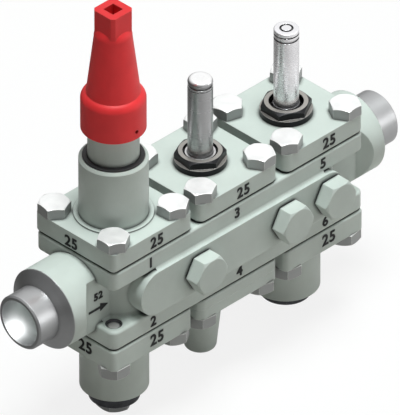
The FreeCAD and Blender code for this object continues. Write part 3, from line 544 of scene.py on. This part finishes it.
bolt_axes = [(centre / millimetre + dx, dy) for centre in axis_places
             for dx in (-bolt_offset, bolt_offset) for dy in (-bolt_offset, bolt_offset)]
shade_dark_linings = bmesh.new()
bolt_tips = bmesh.new()
for face, bolt_end in ((flange_inner_face, upper_bolt_end), (-flange_inner_face, lower_bolt_end)):
    for x, y in bolt_axes:
        turned(shade_dark_linings, hole_lining(face, bolt_end), x, y)
        turned(bolt_tips, bolt_end_outline(face, bolt_end), x, y)
# The threaded linings wear the black oxide finish: painted shade inside the tapped holes.
finish_piece(shade_dark_linings, "tapped_hole_threads", "black_metal")
finish_piece(bolt_tips, "cover_bolt_ends", "bright_bolts")

# %% [markdown]
# ## Springs wound from wire
# Four compression springs push their pieces home: one above each armature, one above the solenoid piston
# and one behind the check cone. Each is a steel wire wound on a mandrel, with its end turns closed so that
# it stands square. The CAD keeps a plain sleeve in each one's place. Here a round wire is swept along its
# helix inside that sleeve, and the sleeve is hidden.

# %% Winding a coil spring
steps_per_turn = 24
wire_sides = 10


def wire_height(turn, turns, rise, length):
    """Height along a spring after so many turns: end turns rise by the wire, the others share the rest."""
    if turn <= 1:
        return rise * turn
    if turn >= turns - 1:
        return length - rise * (turns - turn)
    return rise + (length - 2 * rise) * (turn - 1) / (turns - 2)


def wound_wire(bm, low, high, wire_radius, turns):
    """Sweep a round wire along a helix that just fills the box between two corners."""
    middle = (low + high) / 2
    coil_radius = (high.x - low.x) / 2 - wire_radius
    length = high.z - low.z - 2 * wire_radius
    rings = []
    for step in range(turns * steps_per_turn + 1):
        turn = step / steps_per_turn
        outward = Vector((math.cos(turn * math.tau), math.sin(turn * math.tau), 0))
        height = low.z + wire_radius + wire_height(turn, turns, 2 * wire_radius, length)
        centre = Vector((middle.x, middle.y, height)) + outward * coil_radius
        angles = [math.tau * side / wire_sides for side in range(wire_sides)]
        rings.append([bm.verts.new(centre + outward * (wire_radius * math.cos(angle))
                                   + Vector((0, 0, wire_radius * math.sin(angle)))) for angle in angles])
    for ring, following in zip(rings, rings[1:]):
        for side in range(wire_sides):
            after = (side + 1) % wire_sides
            bm.faces.new((ring[side], ring[after], following[after], following[side]))
    bm.faces.new(rings[0])
    bm.faces.new(reversed(rings[-1]))


def coil_spring(name, sleeve, wire_radius, turns):
    """Wind a spring in place of its CAD sleeve, and hide the sleeve."""
    low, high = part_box(sleeve)
    bm = bmesh.new()
    wound_wire(bm, low, high, wire_radius * millimetre, turns)
    piece = finish_piece(bm, name, "inner_steel")
    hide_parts(sleeve)
    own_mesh(piece)


# %% The four springs
coil_spring("solenoid_armature_coil", "solenoid_armature_spring", wire_radius=0.5, turns=10)
coil_spring("solenoid_piston_coil", "solenoid_piston_spring", wire_radius=0.5, turns=8)
coil_spring("expansion_armature_coil", "expansion_armature_spring", wire_radius=0.5, turns=11)
coil_spring("check_coil", "check_spring", wire_radius=0.8, turns=5)

# %% [markdown]
# ## Raised marks
# A casting carries raised marks: an arrow for the flow beside the inlet, the pipe size on the covers, a
# number for each module and the pressure class. They are plain numbers here, painted black so that they
# read. A number starts as a text curve with a little thickness, is made a mesh, and is then laid against
# its face. The arrow is seven points, extruded and bevelled.

# %% Laying a mark against a face
mark_height = 0.35
stroke_gain = 0.17
digit_size_share = 1.35
digit_spacing = 1.1
arrow_bevel = 0.1
facings = {
    "front": Matrix(((1, 0, 0), (0, 0, -1), (0, 1, 0))),
    "back": Matrix(((-1, 0, 0), (0, 0, 1), (0, 1, 0))),
    "left": Matrix(((0, 0, -1), (-1, 0, 0), (0, 1, 0))),
}


def lay_against(bm, facing, centre):
    """Turn what was drawn flat, facing up, to face one side, and move it to its place in millimetres."""
    turn = facings[facing].to_4x4()
    bmesh.ops.transform(bm, matrix=Matrix.Translation(Vector(centre) * millimetre) @ turn, verts=bm.verts)


def raised_number(name, digits, height, facing, centre):
    """A plain raised number, its middle at the centre, on one side of the station."""
    curve = bpy.data.curves.new(name, "FONT")
    curve.body = digits
    curve.align_x = "CENTER"
    curve.align_y = "CENTER"
    curve.size = height * digit_size_share * millimetre
    curve.extrude = mark_height / 2 * millimetre
    curve.offset = stroke_gain * millimetre
    curve.space_character = digit_spacing
    stand_in = bpy.data.objects.new(name, curve)
    scene.collection.objects.link(stand_in)
    bpy.context.view_layer.update()
    drawn = bpy.data.meshes.new_from_object(stand_in.evaluated_get(bpy.context.evaluated_depsgraph_get()))
    bpy.data.objects.remove(stand_in)
    bm = bmesh.new()
    bm.from_mesh(drawn)
    bmesh.ops.translate(bm, verts=bm.verts, vec=(0, 0, mark_height / 2 * millimetre))
    lay_against(bm, facing, centre)
    return finish_piece(bm, name, "mark_paint")


def flow_arrow(name, facing, centre, towards=1):
    """A raised arrow that shows which way the fluid runs."""
    shaft, head, length, half_shaft, half_head = -7.6, 1.6, 7.6, 0.75, 2.7
    outline = [(shaft, -half_shaft), (head, -half_shaft), (head, -half_head), (length, 0),
               (head, half_head), (head, half_shaft), (shaft, half_shaft)]
    bm = bmesh.new()
    corners = [bm.verts.new((towards * x * millimetre, y * millimetre, 0)) for x, y in outline]
    plate = bm.faces.new(corners)
    raised = bmesh.ops.extrude_face_region(bm, geom=[plate])
    tops = [item for item in raised["geom"] if isinstance(item, bmesh.types.BMVert)]
    bmesh.ops.translate(bm, verts=tops, vec=(0, 0, mark_height * millimetre))
    rim = [edge for edge in bm.edges if all(vert in tops for vert in edge.verts)]
    bmesh.ops.bevel(bm, geom=rim, offset=arrow_bevel * millimetre, segments=2, profile=0.5,
                    affect="EDGES", material=-1)
    lay_against(bm, facing, centre)
    return finish_piece(bm, name, "mark_paint")


# %% Numbers on the covers and flanges, and the flow arrows
pipe_size = "25"
pressure_class = "52"
cover_front = -32.0
flange_left = 44.0
web_face = 17.5
web_middle = 46.0
upper_cover_middle = 33.9
lower_cover_middle = -34.4
flange_mark_level = 21.0
upper_size_height = 7.4
lower_size_height = 7.8
module_height = 7.0
class_height = 5.0
bare_lower_cover = 1
for index, place in enumerate(axis_places):
    middle = place / millimetre
    raised_number("size_mark_top_%d" % (index + 1), pipe_size, upper_size_height, "front",
                  (middle + 3, cover_front, upper_cover_middle))
    raised_number("module_mark_top_%d" % (index + 1), str(2 * index + 1), module_height, "front",
                  (middle - 2, cover_front, flange_mark_level))
    raised_number("module_mark_below_%d" % (index + 1), str(2 * index + 2), module_height, "front",
                  (middle, cover_front, -flange_mark_level))
    if index != bare_lower_cover:
        raised_number("size_mark_below_%d" % (index + 1), pipe_size, lower_size_height, "front",
                      (middle + 3, cover_front, lower_cover_middle))
raised_number("size_mark_left_top", pipe_size, upper_size_height, "left",
              (flange_left, 2.3, upper_cover_middle - 1))
raised_number("size_mark_left_below", pipe_size, lower_size_height, "left",
              (flange_left, -9.0, lower_cover_middle))
raised_number("web_mark", pressure_class, class_height, "front", (web_middle, -web_face, 4.6))
flow_arrow("flow_arrow_front", "front", (web_middle, -web_face, -3.9))
flow_arrow("flow_arrow_back", "back", (web_middle, web_face, -3.9), towards=-1)

# %% [markdown]
# ## The floor
# The floor is a plain pale sheet under the lowest piece. A camera ray sees it nearly white, so that it
# melts into the background, and the object's soft shadow stays on it. Other rays see a duller sheet that
# grows paler from the left to the right and the front, because that is where the drawing's lower faces
# get their light. Mirrors see the same sweep more strongly, which gives bare metal its dark left edge.

# %% Floor
floor_half_size = 6.0
floor_gap = 0.0005
to_front_right = (0.7, -0.7, 0)
floor_bm = bmesh.new()
bmesh.ops.create_grid(floor_bm, x_segments=2, y_segments=2, size=floor_half_size)
bmesh.ops.translate(floor_bm, verts=floor_bm.verts, vec=(axis_places[1], 0, cad_box[0][2] - floor_gap))
floor_mesh = bpy.data.meshes.new("floor")
floor_bm.to_mesh(floor_mesh)
floor_bm.free()
floor = bpy.data.objects.new("floor", floor_mesh)
scene.collection.objects.link(floor)

paper = Recipe("pale floor")
rays = paper.add("ShaderNodeLightPath").outputs
across = paper.along(paper.place, to_front_right)
lit = paper.add("ShaderNodeBsdfDiffuse")
lit.inputs["Color"].default_value = (0.9, 0.9, 0.9, 1)
dim = paper.add("ShaderNodeBsdfDiffuse")
paper.feed(dim.inputs["Color"], paper.blend(paper.spread(across, -0.12, 0.12),
                                            (0.42, 0.405, 0.385, 1), (0.66, 0.635, 0.60, 1)))
white = paper.add("ShaderNodeEmission")
mirrored_floor = paper.add("ShaderNodeEmission")
paper.feed(mirrored_floor.inputs["Strength"], paper.spread(across, -0.22, 0.45, 0.05, 0.95))
in_mirrors = paper.maths("MAXIMUM", rays["Is Glossy Ray"], rays["Is Transmission Ray"])
for_metal = paper.layer(paper.maths("MULTIPLY", in_mirrors, 0.85), dim.outputs[0],
                        mirrored_floor.outputs[0])
for_camera = paper.layer(0.85, lit.outputs[0], white.outputs[0])
seen = paper.layer(rays["Is Camera Ray"], for_metal, for_camera)
paper.tree.nodes.remove(paper.shader)
paper.feed(paper.tree.nodes["Material Output"].inputs["Surface"], seen)
floor_mesh.materials.append(paper.material)
print("floor level:", round(cad_box[0][2] - floor_gap, 4), "m")

# %% [markdown]
# ## The room round the object
# The world plays three parts. The camera sees plain white. Mirrors see a pale sweep that is bright above
# and dark below and to the left, which gives the tubes their shading. Everything else gets a weak light
# from all round, warmer and darker from the left, so that the left faces stay the darkest.

# %% World
def room_background(room, colour, strength):
    """One even or graded background shader."""
    node = room.add("ShaderNodeBackground")
    room.feed(node.inputs["Color"], colour)
    node.inputs["Strength"].default_value = strength
    return node.outputs[0]


world = bpy.data.worlds.new("studio")
scene.world = world
world.use_nodes = True
world.node_tree.nodes.clear()
room = NodeTree(world.node_tree)
rays = room.add("ShaderNodeLightPath").outputs
looking = room.add("ShaderNodeTexCoord").outputs["Generated"]
upper_right = (0.45, -0.10, 0.89)
to_the_right = (0.9, -0.4, 0.0)
left_tint = (0.42, 0.37, 0.31, 1)
right_tint = (1.12, 1.10, 1.09, 1)
mirrored = room_background(room, room.spread(room.along(looking, upper_right), -0.3, 0.7, 0.12, 1.05), 1.0)
side_share = room.spread(room.along(looking, to_the_right), -0.7, 0.5)
ambient = room_background(room, room.blend(side_share, left_tint, right_tint), 0.13)
backdrop = room_background(room, (1, 1, 1, 1), 1.0)
in_mirrors = room.maths("MAXIMUM", rays["Is Glossy Ray"], rays["Is Transmission Ray"])
unseen = room.layer(in_mirrors, ambient, mirrored)
end = room.add("ShaderNodeOutputWorld")
room.feed(end.inputs["Surface"], room.layer(rays["Is Camera Ray"], unseen, backdrop))
print("world nodes:", len(room.tree.nodes))

# %% [markdown]
# ## The lamps
# One wide key light from almost straight above makes the tops pale. A fill from the front right lifts the
# front faces to a middle grey, and a very weak one from the left keeps the left faces from going black.
# The bore of the inlet pipe is light in the drawing, so a small lamp stands inside it, as if daylight
# came through the pipe.

# %% Lamps
def add_lamp(name, kind, strength, place=(0, 0, 0)):
    lamp = bpy.data.lights.new(name, kind)
    lamp.energy = strength
    holder = bpy.data.objects.new(name, lamp)
    holder.location = place
    scene.collection.objects.link(holder)
    return holder


def soft_sun(name, towards, strength, spread_degrees, tint=(1.0, 1.0, 1.0)):
    """A far lamp that shines along a direction, with soft shadows."""
    holder = add_lamp(name, "SUN", strength)
    holder.data.color = tint
    holder.data.angle = math.radians(spread_degrees)
    holder.rotation_euler = Vector(towards).to_track_quat("-Z", "Y").to_euler()


def pipe_lamp(name, place, strength, radius):
    """A small lamp inside a pipe that the camera doesn't see."""
    holder = add_lamp(name, "POINT", strength, place)
    holder.data.shadow_soft_size = radius
    holder.visible_camera = False


soft_sun("key", (-0.02, 0.10, -0.99), strength=3.0, spread_degrees=25, tint=(0.96, 1.0, 0.99))
soft_sun("right fill", (-0.68, 0.73, -0.05), strength=0.68, spread_degrees=40)
soft_sun("left fill", (0.85, 0.25, -0.2), strength=0.07, spread_degrees=40)
pipe_lamp("inlet pipe lamp", (0.014, 0.0, 0.004), strength=0.015, radius=0.008)
print("lamps:", len(bpy.data.lights))

# %% [markdown]
# ## The camera
# The picture is an isometric view: it looks down at 35.26 degrees from the front left, and parallel edges
# stay parallel. A very long lens from far away gives the same picture and still lets other views move
# the camera as usual. Its distance follows from how much of the object the long side of the picture
# takes in.

# %% Camera
view_azimuth = math.radians(-45)
view_elevation = math.atan(math.sqrt(0.5))
picture_long_side = 0.2387
lens_length = 1600.0
sensor_width = 36.0
nearest_seen = 0.1
farthest_seen = 60.0
look_at = Vector((0.1460, 0.0002, 0.0078))
back = Vector((math.sin(view_azimuth) * math.cos(view_elevation),
               -math.cos(view_azimuth) * math.cos(view_elevation),
               math.sin(view_elevation)))
camera_data = bpy.data.cameras.new("camera")
camera_data.lens = lens_length
camera_data.sensor_width = sensor_width
camera_data.clip_start = nearest_seen
camera_data.clip_end = farthest_seen
camera = bpy.data.objects.new("camera", camera_data)
camera.location = look_at + back * (picture_long_side * lens_length / sensor_width)
camera.rotation_euler = (-back).to_track_quat("-Z", "Y").to_euler()
scene.collection.objects.link(camera)
scene.camera = camera
scene.view_settings.view_transform = "Standard"
print("camera distance:", round((camera.location - look_at).length, 3), "m")
